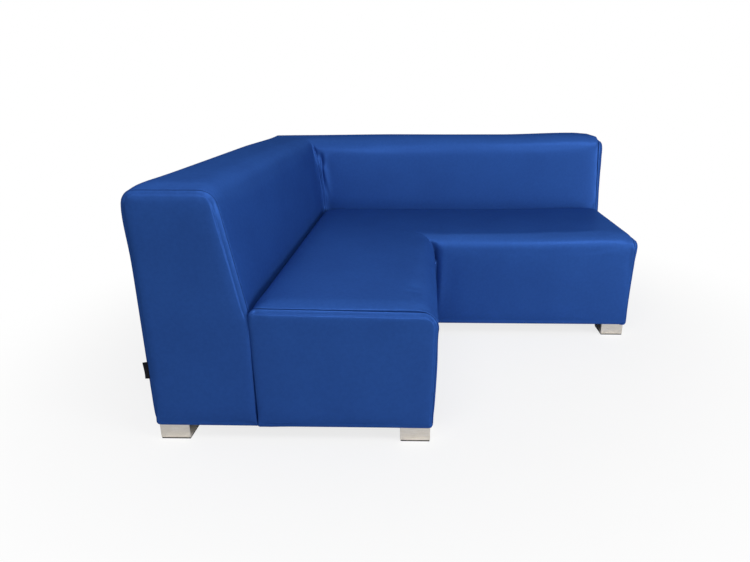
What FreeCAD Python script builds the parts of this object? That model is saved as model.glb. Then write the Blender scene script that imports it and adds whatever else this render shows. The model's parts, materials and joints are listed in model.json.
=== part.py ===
import FreeCAD, Part
import math
import os
import re

import Sketcher

# Corner sofa on six block feet, in millimetres.
# Seen from the front the left wing comes forward and the right wing runs along the rear.
# The origin lies on the floor under the middle of the sofa, +X points to the right and +Y to the rear.
# On each wing, depth is measured forward from the rear face, run is measured along the wing
# from the outer corner where the two rear faces meet, and level is the height above the floor.

# Driving sizes
sizes = {
    # Overall form
    "right_length": 1624,
    "left_length": 1556,
    "back_height": 749,
    "back_depth_top": 241,
    "joint_depth": 303,
    "joint_height": 405,
    "seat_height": 421,
    "seat_front_height": 413,
    "seat_depth_top": 829,
    "seat_depth_base": 812,
    "base_height": 55,
    # Roundings of the padded edges
    "back_rear_round": 42,
    "back_front_round": 48,
    "joint_round": 60,
    "seat_rear_round": 25,
    "seat_front_round": 50,
    "end_roll": 11,
    "base_round_extra": 3,
    # Cover
    "cover_thickness": 1.5,
    "soft_gap": 0.3,
    "mitre_gap": 0.3,
    "module_gap": 0.6,
    "seam_margin": 0.5,
    "cover_margin": 16,
    "tuck_height": 300,
    "dust_thickness": 1,
    # Foam
    "rear_foam": 5,
    "end_foam_flat": 1.3,
    "back_top_foam": 25,
    "back_front_foam": 45,
    "back_foam_skirt": 60,
    "border_foam": 18,
    "seat_foam_bottom": 325,
    # Boards
    "board": 18,
    "rear_board": 4,
    "front_board": 5,
    "lower_board": 15,
    "lower_board_top": 330,
    "joint_inset": 4,
    "seat_base_width": 122,
    # Elastic webbing
    "webbing_width": 60,
    "webbing_thickness": 3,
    # Feet
    "foot_side": 88,
    "foot_inset": 8,
    "foot_wall": 2,
    "foot_plate": 3,
    "foot_round": 2,
    "glide_height": 5,
    "glide_inset": 1.5,
    "plug_height": 15,
    "plug_gap": 0.3,
    # Fasteners
    "screw_shank": 4.5,
    "screw_head": 9,
    "screw_head_height": 3,
    "screw_length": 22,
    "screw_offset": 26,
    "hole_gap": 0.3,
    "bolt_shank": 8,
    "bolt_head": 20,
    "bolt_head_height": 4,
    "bolt_length": 50,
    "bolt_height": 200,
    "bolt_offset": 40,
    "seat_bolt_inset": 100,
    "nut_across": 15,
    "nut_height": 6.5,
    # Label loop
    "label_reach": 15,
    "label_width": 2.2,
    "label_fold": 1,
    "label_wall": 0.8,
    "label_tall": 52,
    "label_level": 198,
    # How far a cutting shape reaches past what it cuts
    "cutter_reach": 20,
}

# How many of each repeated board or strap a wing has
rib_count = {"left": 5, "right": 4}
cross_rail_count = {"left": 2, "right": 3}
strap_count = {"left": 6, "right": 11}

document = FreeCAD.newDocument("CornerSofa")
sheet = document.addObject("Spreadsheet::Sheet", "Sizes")
for row, (name, number) in enumerate(sizes.items(), start=1):
    sheet.set(f"A{row}", name)
    sheet.set(f"B{row}", str(number))
    sheet.setAlias(f"B{row}", name)
document.recompute()

nodes = {}
tolerance = 0.01  # for finding edges
least_cut = 0.001  # the smallest volume that counts as a cut


# Formulas
def bound(text):
    """Turn a formula in size names into an expression on the sheet."""
    return re.sub(r"[a-z_]+", lambda word: "Sizes." * (word.group() in sizes) + word.group(), text)


def value(text):
    return float(sheet.evalExpression(bound(text)))


skin = "(cover_thickness + soft_gap)"
base_round = "(end_roll + base_round_extra)"
seam_inset = "(end_roll + seam_margin)"
end_foam = f"(end_roll - {skin} + end_foam_flat)"
back_joint = "(joint_depth - module_gap / 2)"
seat_joint = "(joint_depth + module_gap / 2)"
rake = f"(({back_joint} - back_depth_top) / (back_height - joint_height))"
lean = "((seat_depth_top - seat_depth_base) / (seat_front_height - base_height))"

frame_back = f"({skin} + rear_foam + soft_gap)"
rib_back = f"({frame_back} + rear_board)"
frame_top = f"(back_height - {skin} - back_top_foam - soft_gap)"
frame_end = f"({skin} + {end_foam} + soft_gap)"
panel_front = f"({skin} + back_front_foam + soft_gap)"
panel_back = f"({panel_front} + front_board)"
low_level = f"(base_height + {skin})"
board_top = f"({low_level} + board)"
round_level = f"(base_height + {base_round})"
corner_start = f"({base_round} + soft_gap)"
lower_back = "(joint_depth - joint_inset - lower_board)"
lower_front = "(joint_depth - joint_inset)"
rail_back = "(joint_depth + joint_inset)"
rail_front = f"(seat_depth_base - {skin} - border_foam - soft_gap)"
rail_top = "(seat_foam_bottom - soft_gap - webbing_thickness)"

# The left wing starts behind the right one, so its seat boards begin where the front rail ends
wing_length = {"left": "left_length", "right": "right_length"}
frame_stop = {wing: f"({length} - {frame_end})" for wing, length in wing_length.items()}
seat_start = {"left": f"({rail_front} + soft_gap)", "right": rail_back}
origin_x = "(label_reach - (right_length + label_reach) / 2)"
origin_y = "(left_length / 2)"


def raked(inset, level):
    """Depth of a line parallel to the raked front of the back, at a level."""
    return f"({back_joint} - {inset} - ({level} - joint_height) * {rake})"


def front(inset, level):
    """Depth of a line parallel to the leaning front of the seat, at a level."""
    return f"(seat_depth_base - {inset} + ({level} - base_height) * {lean})"


# Sketches and bodies
def place(part, x="0", y="0", z="0"):
    """Bind a part's place to the outer corner plus an offset to the right, to the front and upwards."""
    part.setExpression("Placement.Base.x", bound(f"{origin_x} + {x}"))
    part.setExpression("Placement.Base.y", bound(f"{origin_y} - {y}"))
    part.setExpression("Placement.Base.z", bound(z))


def new_body(label):
    body = document.addObject("PartDesign::Body", label)
    body.Label = label
    return body


def new_sketch(body, plane, height="0"):
    """A sketch on one of the body's own planes, moved along the plane's normal."""
    sketch = body.newObject("Sketcher::SketchObject", body.Label + "_outline")
    support = [feature for feature in body.Origin.OriginFeatures if feature.Role == plane][0]
    sketch.AttachmentSupport = [(support, "")]
    sketch.MapMode = "FlatFace"
    sketch.setExpression("AttachmentOffset.Base.z", bound(height))
    return sketch


def fix_point(sketch, geometry, position, across, up, flip=False):
    """Hold a point at two formulas, measured from the sketch's root; flip mirrors it across."""
    pair = (geometry, position, -1, 1) if flip else (-1, 1, geometry, position)
    index = sketch.addConstraint(Sketcher.Constraint("DistanceX", *pair, value(across)))
    sketch.setExpression(f"Constraints[{index}]", bound(across))
    index = sketch.addConstraint(Sketcher.Constraint("DistanceY", -1, 1, geometry, position, value(up)))
    sketch.setExpression(f"Constraints[{index}]", bound(up))


def draw_polygon(sketch, corners, flip=False):
    side = -1 if flip else 1
    points = [FreeCAD.Vector(side * value(across), value(up), 0) for across, up in corners]
    for index, point in enumerate(points):
        sketch.addGeometry(Part.LineSegment(point, points[(index + 1) % len(points)]), False)
    for index in range(len(points)):
        after = (index + 1) % len(points)
        sketch.addConstraint(Sketcher.Constraint("Coincident", index, 2, after, 1))
    for index, (across, up) in enumerate(corners):
        fix_point(sketch, index, 1, across, up, flip)


def draw_circle(sketch, across, up, radius):
    centre = FreeCAD.Vector(value(across), value(up), 0)
    circle = sketch.addGeometry(Part.Circle(centre, FreeCAD.Vector(0, 0, 1), value(radius)), False)
    index = sketch.addConstraint(Sketcher.Constraint("Radius", circle, value(radius)))
    sketch.setExpression(f"Constraints[{index}]", bound(radius))
    fix_point(sketch, circle, 3, across, up)


def rectangle(across_from, up_from, across_to, up_to):
    return [(across_from, up_from), (across_to, up_from), (across_to, up_to), (across_from, up_to)]


def pad(body, sketch, length):
    feature = body.newObject("PartDesign::Pad", body.Label + "_pad")
    feature.Profile = sketch
    feature.setExpression("Length", bound(length))
    document.recompute()
    return feature


def pocket(body, sketch, length=None, upwards=False):
    """Cut a sketch out of the body, through all of it or to a length, and test that it cut."""
    before = body.Tip.Shape.Volume
    feature = body.newObject("PartDesign::Pocket", body.Label + "_pocket")
    feature.Profile = sketch
    feature.Reversed = upwards
    if length is None:
        feature.Type = "ThroughAll"
        feature.SideType = "Symmetric"
    else:
        feature.setExpression("Length", bound(length))
    document.recompute()
    assert feature.Shape.Volume < before - least_cut, body.Label + ": a pocket cut nothing"
    return feature


def fillet(body, chosen, radius):
    """Round the edges of the tip that pass a test."""
    base = body.Tip
    names = [f"Edge{number}" for number, edge in enumerate(base.Shape.Edges, start=1) if chosen(edge)]
    assert names, body.Label + ": no edge to round"
    feature = body.newObject("PartDesign::Fillet", body.Label + "_round")
    feature.Base = (base, names)
    feature.setExpression("Radius", bound(radius))
    document.recompute()
    return feature


# Pieces that run along a wing
def along(wing, edge):
    """Run, depth and level of each end of an edge, from the outer corner."""
    points = [vertex.Point for vertex in edge.Vertexes]
    if wing == "left":
        return [(-point.y, point.x, point.z) for point in points]
    return [(point.x, -point.y, point.z) for point in points]


def is_corner(wing, edge, depth, level):
    return all(abs(spot[1] - depth) + abs(spot[2] - level) < tolerance for spot in along(wing, edge))


def is_end(wing, edge, run):
    return all(abs(spot[0] - run) < tolerance for spot in along(wing, edge))


def cut_mitre(body, wing, gap):
    """Remove what lies past the diagonal plane where the two wings meet."""
    reach = "(seat_depth_top + cutter_reach)"
    over = "cutter_reach"
    sketch = new_sketch(body, "XY_Plane")
    if wing == "left":
        corners = [
            (f"-{over}", f"{over} - {gap}"),
            (reach, f"-{reach} - {gap}"),
            (reach, f"{over} - {gap}"),
        ]
    else:
        corners = [
            (f"-{over} + {gap}", over),
            (f"{reach} + {gap}", f"-{reach}"),
            (f"-{over} + {gap}", f"-{reach}"),
        ]
    draw_polygon(sketch, corners)
    pocket(body, sketch)


def wing_solid(label, wing, corners, start, stop, rounds=(), roll=None, mitre=None):
    """A profile in depth and level, extruded along a wing from one run to another."""
    body = new_body(label)
    sketch = new_sketch(body, "XZ_Plane" if wing == "left" else "YZ_Plane", start)
    draw_polygon(sketch, corners, flip=wing == "right")
    pad(body, sketch, f"{stop} - {start}")
    for corner, radius in rounds:
        depth, level = (value(text) for text in corners[corner])
        fillet(body, lambda edge: is_corner(wing, edge, depth, level), radius)
    if roll:
        end = value(stop)
        fillet(body, lambda edge: is_end(wing, edge, end), roll)
    if mitre:
        cut_mitre(body, wing, mitre)
    place(body)
    document.recompute()
    return body


def wing_board(label, wing, run, depth, level):
    """A plain board or cutting block, from ranges of run, depth and level."""
    box = document.addObject("Part::Box", label)
    box.Label = label
    across, forward = (depth, run) if wing == "left" else (run, depth)
    box.setExpression("Length", bound(f"{across[1]} - {across[0]}"))
    box.setExpression("Width", bound(f"{forward[1]} - {forward[0]}"))
    box.setExpression("Height", bound(f"{level[1]} - {level[0]}"))
    place(box, across[0], forward[1], level[0])
    return box


def wing_rod(label, wing, run, depth, level, length, radius):
    """A cylinder that points forward across a wing."""
    rod = document.addObject("Part::Cylinder", label)
    rod.Label = label
    rod.setExpression("Radius", bound(radius))
    rod.setExpression("Height", bound(length))
    turn = FreeCAD.Vector(0, 1, 0) if wing == "left" else FreeCAD.Vector(1, 0, 0)
    rod.Placement = FreeCAD.Placement(FreeCAD.Vector(), FreeCAD.Rotation(turn, 90))
    across, forward = (depth, run) if wing == "left" else (run, depth)
    place(rod, across, forward, level)
    return rod


# Joining and cutting
def group(label, members):
    compound = document.addObject("Part::Compound", label)
    compound.Label = label
    compound.Links = members
    document.recompute()
    return compound


def cut(label, base, tool):
    result = document.addObject("Part::Cut", label)
    result.Label = label
    result.Base = base
    result.Tool = tool
    document.recompute()
    assert result.Shape.Volume < base.Shape.Volume - least_cut, label + ": the cut removed nothing"
    return result


def fuse(label, members):
    result = document.addObject("Part::MultiFuse", label)
    result.Label = label
    result.Shapes = members
    result.Refine = True
    document.recompute()
    return result


def keep(part):
    nodes[part.Label] = part
    return part


def spread(first, last, index, count):
    return f"({first} + {index} * ({last} - {first}) / {count - 1})"


# Outlines of the two padded sections, drawn in by an inset on every side
def back_outline(inset):
    top = f"(back_height - {inset})"
    low = f"(base_height + {inset})"
    joint = f"({back_joint} - {inset})"
    return [
        (inset, low),
        (inset, top),
        (raked(inset, top), top),
        (joint, "joint_height"),
        (joint, low),
    ]


def back_rounds(inset):
    radii = [base_round, "back_rear_round", "back_front_round", "joint_round", base_round]
    return [(corner, f"{radius} - {inset}") for corner, radius in enumerate(radii)]


def seat_outline(inset):
    top = f"(seat_front_height - {inset})"
    low = f"(base_height + {inset})"
    joint = f"({seat_joint} + {inset})"
    return [
        (joint, low),
        (joint, f"(seat_height - {inset})"),
        (front(inset, top), top),
        (front(inset, low), low),
    ]


def seat_rounds(inset):
    radii = [base_round, "seat_rear_round", "seat_front_round", base_round]
    return [(corner, f"{radius} - {inset}") for corner, radius in enumerate(radii)]


# Cover band of one section: a skin round the padding, open below and down the joint face,
# which stops where the rolled edge of the end panel is sewn on
def cover_band(label, wing, outline, rounds, start, trim, gap):
    length = wing_length[wing]
    stop = f"({length} - {seam_inset} - soft_gap)"
    outer = wing_solid(label + "_outer", wing, outline("0"), start, stop, rounds("0"), mitre=gap)
    inner = wing_solid(
        label + "_inner",
        wing,
        outline("cover_thickness"),
        f"({start} - cutter_reach)",
        f"({stop} + cutter_reach)",
        rounds("cover_thickness"),
    )
    trim_run = (f"({start} - cutter_reach)", f"({length} - cover_margin)")
    block = wing_board(label + "_trim", wing, trim_run, trim, ("0", "tuck_height"))
    return cut(label, cut(label + "_shell", outer, inner), block)


def end_panel(label, wing, outline, rounds):
    """The end of the cover, drawn over the end's edges in a soft roll up to its seam."""
    length = wing_length[wing]
    start = f"({length} - {seam_inset})"
    behind = f"({start} - cutter_reach)"
    outer = wing_solid(label + "_outer", wing, outline("0"), behind, length, rounds("0"), roll="end_roll")
    inner = wing_solid(
        label + "_inner",
        wing,
        outline("cover_thickness"),
        f"({behind} - cutter_reach)",
        f"({length} - cover_thickness)",
        rounds("cover_thickness"),
        roll="end_roll - cover_thickness",
    )
    block = wing_board(
        label + "_trim",
        wing,
        (f"({behind} - cutter_reach)", start),
        ("-cutter_reach", "(seat_depth_top + cutter_reach)"),
        ("0", "(back_height + cutter_reach)"),
    )
    return cut(label, cut(label + "_shell", outer, inner), block)


def end_pad(label, wing, outline, rounds):
    length = wing_length[wing]
    stop = f"({length} - {skin})"
    return wing_solid(
        label, wing, outline(skin), f"({stop} - {end_foam})", stop, rounds(skin), roll=f"end_roll - {skin}"
    )


# Back sections: cover, foam and board frame
def make_back(wing):
    stop = frame_stop[wing]
    trim = ("cover_margin", f"({back_joint} + cutter_reach)")
    keep(cover_band(f"back_band_{wing}", wing, back_outline, back_rounds, "0", trim, "mitre_gap"))
    keep(end_panel(f"back_end_panel_{wing}", wing, back_outline, back_rounds))
    keep(end_pad(f"back_end_foam_{wing}", wing, back_outline, back_rounds))

    top = f"(back_height - {skin})"
    under = f"({frame_top} + soft_gap)"
    skirt = "(back_height - back_foam_skirt)"
    foot = "(lower_board_top + soft_gap)"
    pad_back = f"({skin} + back_front_foam)"
    rear_back = f"({skin} + rear_foam)"
    foam = [
        (skin, skirt),
        (skin, top),
        (raked(skin, top), top),
        (f"({back_joint} - {skin})", "joint_height"),
        (f"({back_joint} - {skin})", foot),
        (raked(pad_back, foot), foot),
        (raked(pad_back, under), under),
        (rear_back, under),
        (rear_back, skirt),
    ]
    rounds = [
        (1, f"back_rear_round - {skin}"),
        (2, f"back_front_round - {skin}"),
        (3, f"joint_round - {skin}"),
    ]
    keep(wing_solid(f"back_foam_{wing}", wing, foam, "0", stop, rounds, mitre="mitre_gap"))
    rear = rectangle(skin, round_level, rear_back, f"({skirt} - soft_gap)")
    keep(wing_solid(f"back_rear_foam_{wing}", wing, rear, "0", stop, mitre="mitre_gap"))

    front_panel = [
        (raked(panel_front, "lower_board_top"), "lower_board_top"),
        (raked(panel_front, frame_top), frame_top),
        (raked(panel_back, frame_top), frame_top),
        (raked(panel_back, "lower_board_top"), "lower_board_top"),
    ]
    keep(wing_solid(f"back_front_panel_{wing}", wing, front_panel, "0", stop, mitre="mitre_gap"))

    rail_low = f"({frame_top} - board)"
    top_start = {"left": rib_back, "right": f"({raked(panel_back, rail_low)} + soft_gap)"}[wing]
    top_rail = [
        (rib_back, rail_low),
        (rib_back, frame_top),
        (raked(panel_back, frame_top), frame_top),
        (raked(panel_back, rail_low), rail_low),
    ]
    keep(wing_solid(f"back_top_rail_{wing}", wing, top_rail, top_start, stop))

    panel_start = {"left": f"({rib_back} + soft_gap)", "right": frame_back}[wing]
    keep(
        wing_board(
            f"back_rear_panel_{wing}",
            wing,
            (panel_start, stop),
            (frame_back, rib_back),
            (round_level, frame_top),
        )
    )
    start = {"left": corner_start, "right": f"({lower_front} + soft_gap)"}[wing]
    base = wing_board(
        f"back_base_blank_{wing}", wing, (start, stop), (corner_start, lower_back), (low_level, board_top)
    )
    keep(cut(f"back_base_board_{wing}", base, screw_holes))
    lower = wing_board(
        f"back_lower_blank_{wing}",
        wing,
        (start, stop),
        (lower_back, lower_front),
        (round_level, "lower_board_top"),
    )
    keep(cut(f"back_lower_board_{wing}", lower, bolt_holes))

    rib = [
        (rib_back, board_top),
        (rib_back, rail_low),
        (raked(panel_back, rail_low), rail_low),
        (raked(panel_back, "lower_board_top"), "lower_board_top"),
        (lower_back, "lower_board_top"),
        (lower_back, board_top),
    ]
    ribs = [
        wing_solid(f"back_rib_{wing}_{index + 1}", wing, rib, run, f"({run} + board)")
        for index, run in enumerate(rib_runs[wing])
    ]
    keep(group(f"back_ribs_{wing}", ribs))


# Seat sections: foam, board frame and webbing
def make_seat(wing):
    stop = frame_stop[wing]
    start = seat_start[wing]
    keep(end_panel(f"seat_end_panel_{wing}", wing, seat_outline, seat_rounds))
    keep(end_pad(f"seat_end_foam_{wing}", wing, seat_outline, seat_rounds))

    top = f"(seat_front_height - {skin})"
    foam = [
        (f"({seat_joint} + {skin})", "seat_foam_bottom"),
        (f"({seat_joint} + {skin})", f"(seat_height - {skin})"),
        (front(skin, top), top),
        (front(skin, "seat_foam_bottom"), "seat_foam_bottom"),
    ]
    rounds = [(1, f"seat_rear_round - {skin}"), (2, f"seat_front_round - {skin}")]
    keep(wing_solid(f"seat_foam_{wing}", wing, foam, "joint_depth", stop, rounds, mitre="mitre_gap"))

    under = "(seat_foam_bottom - soft_gap)"
    border = [
        (f"({rail_front} + soft_gap)", round_level),
        (f"({rail_front} + soft_gap)", under),
        (front(skin, under), under),
        (front(skin, round_level), round_level),
    ]
    keep(wing_solid(f"seat_border_foam_{wing}", wing, border, "joint_depth", stop, mitre="mitre_gap"))

    inner_rail = f"({rail_back} + board)"
    outer_rail = f"({rail_front} - board)"
    front_rail = wing_board(
        f"seat_front_blank_{wing}", wing, (start, stop), (outer_rail, rail_front), (board_top, rail_top)
    )
    if wing == "right":
        front_rail = cut("seat_front_rail_right", front_rail, bolt_holes)
    front_rail.Label = f"seat_front_rail_{wing}"
    keep(front_rail)
    rear_rail = wing_board(
        f"seat_rear_blank_{wing}", wing, (start, stop), (rail_back, inner_rail), (round_level, rail_top)
    )
    keep(cut(f"seat_rear_rail_{wing}", rear_rail, bolt_holes))
    keep(
        wing_board(
            f"seat_end_rail_{wing}",
            wing,
            (f"({stop} - board)", stop),
            (inner_rail, outer_rail),
            (board_top, rail_top),
        )
    )
    base = wing_board(
        f"seat_base_blank_{wing}",
        wing,
        (start, stop),
        (f"({rail_front} - seat_base_width)", rail_front),
        (low_level, board_top),
    )
    keep(cut(f"seat_base_board_{wing}", base, screw_holes))

    first = f"({start} + board + webbing_width / 2)"
    last = f"({stop} - board - 1.5 * webbing_width)"
    straps = []
    for index in range(strap_count[wing]):
        run = spread(first, last, index, strap_count[wing])
        straps.append(
            wing_board(
                f"strap_{wing}_{index + 1}",
                wing,
                (run, f"({run} + webbing_width)"),
                (rail_back, rail_front),
                (rail_top, f"({rail_top} + webbing_thickness)"),
            )
        )
    keep(group(f"webbing_{wing}", straps))


def make_seat_band():
    """One L-shaped cover over both seats, its two halves joined on the diagonal."""
    trim = (f"({seat_joint} - cutter_reach)", "(seat_depth_base - cover_margin)")
    halves = [
        cover_band(f"seat_band_half_{wing}", wing, seat_outline, seat_rounds, "joint_depth", trim, "0")
        for wing in ("left", "right")
    ]
    keep(fuse("seat_band", halves))


def make_cross_rails():
    """Boards between the front and rear rails, each wing's first one closing its inner end."""
    rails = []
    for wing, count in cross_rail_count.items():
        last = f"({frame_stop[wing]} - board)"
        for index in range(count):
            run = spread(seat_start[wing], last, index, count + 1)
            rails.append(
                wing_board(
                    f"cross_rail_{wing}_{index + 1}",
                    wing,
                    (run, f"({run} + board)"),
                    (f"({rail_back} + board)", f"({rail_front} - board)"),
                    (board_top, rail_top),
                )
            )
    keep(cut("seat_cross_rails", group("cross_rail_blanks", rails), bolt_holes))


def make_dust_covers():
    """Thin black sheets that close the underside between the turned-in margins of the cover."""
    edge = "(cover_margin + soft_gap)"
    inner = "(seat_depth_base - cover_margin - soft_gap)"
    start = {"left": f"({inner} + soft_gap)", "right": edge}
    for wing, length in wing_length.items():
        blank = wing_board(
            f"dust_blank_{wing}",
            wing,
            (start[wing], f"({length} - {edge})"),
            (edge, inner),
            ("base_height", "(base_height + dust_thickness)"),
        )
        keep(cut(f"dust_cover_{wing}", blank, screw_holes))


# Feet: hollow steel blocks closed below by plastic glides, each held by four screws
near_edge = "foot_inset"
seat_edge = "(seat_depth_base - foot_inset - foot_side)"
left_edge = "(left_length - foot_inset - foot_side)"
right_edge = "(right_length - foot_inset - foot_side)"
feet = {
    "left_outer": (near_edge, left_edge),
    "left_inner": (seat_edge, left_edge),
    "corner_outer": (near_edge, near_edge),
    "corner_inner": (seat_edge, seat_edge),
    "right_outer": (right_edge, near_edge),
    "right_inner": (right_edge, seat_edge),
}
screw_spots = [
    (f"(foot_side / 2 {across} screw_offset)", f"(foot_side / 2 {forward} screw_offset)")
    for across in "+-"
    for forward in "+-"
]


def foot_square(sketch, inset):
    draw_polygon(
        sketch,
        rectangle(inset, f"-(foot_side - {inset})", f"(foot_side - {inset})", f"-{inset}"),
    )


def is_upright(edge):
    start, end = edge.Vertexes[0].Point, edge.Vertexes[-1].Point
    return math.hypot(end.x - start.x, end.y - start.y) < tolerance < abs(end.z - start.z)


def make_foot(spot, x, y):
    shell = new_body(f"foot_shell_{spot}")
    sketch = new_sketch(shell, "XY_Plane", "glide_height")
    foot_square(sketch, "0")
    pad(shell, sketch, "base_height - glide_height")
    fillet(shell, is_upright, "foot_round")
    hollow = new_sketch(shell, "XY_Plane", "glide_height")
    foot_square(hollow, "foot_wall")
    pocket(shell, hollow, "base_height - glide_height - foot_plate", upwards=True)
    holes = new_sketch(shell, "XY_Plane", "base_height")
    for across, forward in screw_spots:
        draw_circle(holes, across, f"-{forward}", "screw_shank / 2 + hole_gap")
    pocket(shell, holes)
    place(shell, x, y)
    keep(shell)

    glide = new_body(f"foot_glide_{spot}")
    flange = new_sketch(glide, "XY_Plane")
    foot_square(flange, "glide_inset")
    pad(glide, flange, "glide_height")
    plug = new_sketch(glide, "XY_Plane", "glide_height")
    foot_square(plug, "(foot_wall + plug_gap)")
    pad(glide, plug, "plug_height")
    place(glide, x, y)
    keep(glide)


def upright_rod(label, x, y, level, length, radius):
    rod = document.addObject("Part::Cylinder", label)
    rod.Label = label
    rod.setExpression("Radius", bound(radius))
    rod.setExpression("Height", bound(length))
    place(rod, x, y, level)
    return rod


def make_screws():
    """Pan-head screws up through each foot, and the holes for them in the boards and dust covers."""
    screws = []
    holes = []
    seat = "(base_height - foot_plate)"
    for spot, (x, y) in feet.items():
        for number, (across, forward) in enumerate(screw_spots, start=1):
            name = f"{spot}_{number}"
            centre = (f"({x} + {across})", f"({y} + {forward})")
            shank = upright_rod(f"screw_shank_{name}", *centre, seat, "screw_length", "screw_shank / 2")
            head = upright_rod(
                f"screw_head_{name}",
                *centre,
                f"({seat} - screw_head_height)",
                "screw_head_height",
                "screw_head / 2",
            )
            screws.append(fuse(f"foot_screw_{name}", [shank, head]))
            holes.append(
                upright_rod(
                    f"screw_hole_{name}",
                    *centre,
                    "(base_height - dust_thickness)",
                    "(screw_length - foot_plate + dust_thickness + hole_gap)",
                    "screw_shank / 2 + hole_gap",
                )
            )
    keep(group("foot_screws", screws))
    return group("screw_holes", holes)


# Bolts clamp each seat to the back behind it, and the left seat to the right one
rib_first = {"left": rib_back, "right": f"({lower_front} + soft_gap)"}
rib_runs = {
    wing: [
        spread(rib_first[wing], f"({frame_stop[wing]} - board)", index, rib_count[wing])
        for index in range(rib_count[wing])
    ]
    for wing in ("left", "right")
}
beside_rib = {
    wing: [f"({run} + board + bolt_offset)" for run in runs[:-1]] + [f"({runs[-1]} - bolt_offset)"]
    for wing, runs in rib_runs.items()
}
bolts = [("left", run, lower_back, f"({rail_back} + board)") for run in beside_rib["left"][1:]]
bolts += [("right", run, lower_back, f"({rail_back} + board)") for run in beside_rib["right"]]
bolts += [
    ("right", run, f"({rail_front} - board)", f"({rail_front} + soft_gap + board)")
    for run in ("(joint_depth + seat_bolt_inset)", f"({rail_front} - seat_bolt_inset)")
]


def make_bolts():
    """Round-head bolts with hexagon nuts, and the holes for them in the boards."""
    bodies = []
    nuts = []
    holes = []
    for number, (wing, run, seat, far_side) in enumerate(bolts, start=1):
        shank = wing_rod(
            f"bolt_shank_{number}",
            wing,
            run,
            seat,
            "bolt_height",
            "bolt_length",
            "bolt_shank / 2",
        )
        head = wing_rod(
            f"bolt_head_{number}",
            wing,
            run,
            f"({seat} - bolt_head_height)",
            "bolt_height",
            "bolt_head_height",
            "bolt_head / 2",
        )
        bodies.append(fuse(f"module_bolt_{number}", [shank, head]))
        blank = document.addObject("Part::Prism", f"nut_blank_{number}")
        blank.Polygon = 6
        blank.setExpression("Circumradius", bound("nut_across / 2"))
        blank.setExpression("Height", bound("nut_height"))
        turn = FreeCAD.Vector(0, 1, 0) if wing == "left" else FreeCAD.Vector(1, 0, 0)
        blank.Placement = FreeCAD.Placement(FreeCAD.Vector(), FreeCAD.Rotation(turn, 90))
        across, forward = (far_side, run) if wing == "left" else (run, far_side)
        place(blank, across, forward, "bolt_height")
        thread = wing_rod(
            f"nut_thread_{number}",
            wing,
            run,
            f"({far_side} - nut_height)",
            "bolt_height",
            "3 * nut_height",
            "bolt_shank / 2",
        )
        nuts.append(cut(f"module_nut_{number}", blank, thread))
        holes.append(
            wing_rod(
                f"bolt_hole_{number}",
                wing,
                run,
                f"({seat} - joint_inset)",
                "bolt_height",
                f"({far_side} - {seat} + 2 * joint_inset)",
                "bolt_shank / 2 + hole_gap",
            )
        )
    keep(group("module_bolts", bodies))
    keep(group("module_nuts", nuts))
    return group("bolt_holes", holes)


def make_label():
    """A bare folded ribbon sewn into the seam at the rear edge of the left wing's end."""
    body = new_body("label_loop")
    start = f"(left_length - {seam_inset} - label_width / 2)"
    stop = f"(left_length - {seam_inset} + label_width / 2)"
    outline = new_sketch(body, "XY_Plane", "label_level")
    draw_polygon(outline, rectangle("-label_reach", f"-{stop}", "0", f"-{start}"))
    pad(body, outline, "label_tall")
    fold = -value("label_reach")
    fillet(body, lambda edge: is_upright(edge) and abs(edge.Vertexes[0].X - fold) < tolerance, "label_fold")
    slot = new_sketch(body, "XY_Plane", "label_level")
    slot_start = f"-({start} + label_wall)"
    slot_stop = f"-({stop} - label_wall)"
    draw_polygon(slot, rectangle("-label_reach + label_width", slot_stop, "label_wall", slot_start))
    pocket(body, slot, "label_tall", upwards=True)
    place(body)
    keep(body)


screw_holes = make_screws()
bolt_holes = make_bolts()
for side in ("left", "right"):
    make_back(side)
    make_seat(side)
make_seat_band()
make_cross_rails()
make_dust_covers()
for spot, (x, y) in feet.items():
    make_foot(spot, x, y)
make_label()
document.recompute()

# Every object and every piece is tested before anything is written
for item in document.Objects:
    assert "Invalid" not in item.State and "Error" not in item.State, item.Label + " failed"
for name, part in nodes.items():
    assert not part.Shape.isNull() and part.Shape.isValid(), name + " is not a valid shape"
    assert part.Label == name, name + " has another label"
    assert part.Shape.Solids, name + " has no solid"

os.makedirs("parts", exist_ok=True)
for name, part in nodes.items():
    part.Shape.exportStep(f"parts/{name}.step")
    print(f"{name}: {len(part.Shape.Solids)} solids, {part.Shape.Volume:.0f} cubic millimetres")
print(len(nodes), "nodes")
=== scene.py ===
import json
import math

import bmesh
import bpy
import numpy as np
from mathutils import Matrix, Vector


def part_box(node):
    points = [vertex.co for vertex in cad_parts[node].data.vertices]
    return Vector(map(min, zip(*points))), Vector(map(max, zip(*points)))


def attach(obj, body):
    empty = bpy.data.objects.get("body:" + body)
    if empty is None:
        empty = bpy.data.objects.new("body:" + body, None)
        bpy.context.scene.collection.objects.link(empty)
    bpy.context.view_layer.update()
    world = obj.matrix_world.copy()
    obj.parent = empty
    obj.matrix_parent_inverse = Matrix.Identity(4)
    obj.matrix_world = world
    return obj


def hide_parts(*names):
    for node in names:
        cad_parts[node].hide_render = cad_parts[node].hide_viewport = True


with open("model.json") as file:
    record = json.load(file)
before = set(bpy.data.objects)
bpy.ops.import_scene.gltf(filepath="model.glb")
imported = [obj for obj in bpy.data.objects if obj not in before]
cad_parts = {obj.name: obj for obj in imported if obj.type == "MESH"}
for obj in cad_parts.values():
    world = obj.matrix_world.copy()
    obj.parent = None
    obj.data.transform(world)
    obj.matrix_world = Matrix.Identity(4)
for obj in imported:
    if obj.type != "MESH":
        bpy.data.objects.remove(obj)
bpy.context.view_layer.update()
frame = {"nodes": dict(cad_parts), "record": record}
nodes = frame["nodes"]
print("frame loaded with", len(nodes), "nodes")

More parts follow.
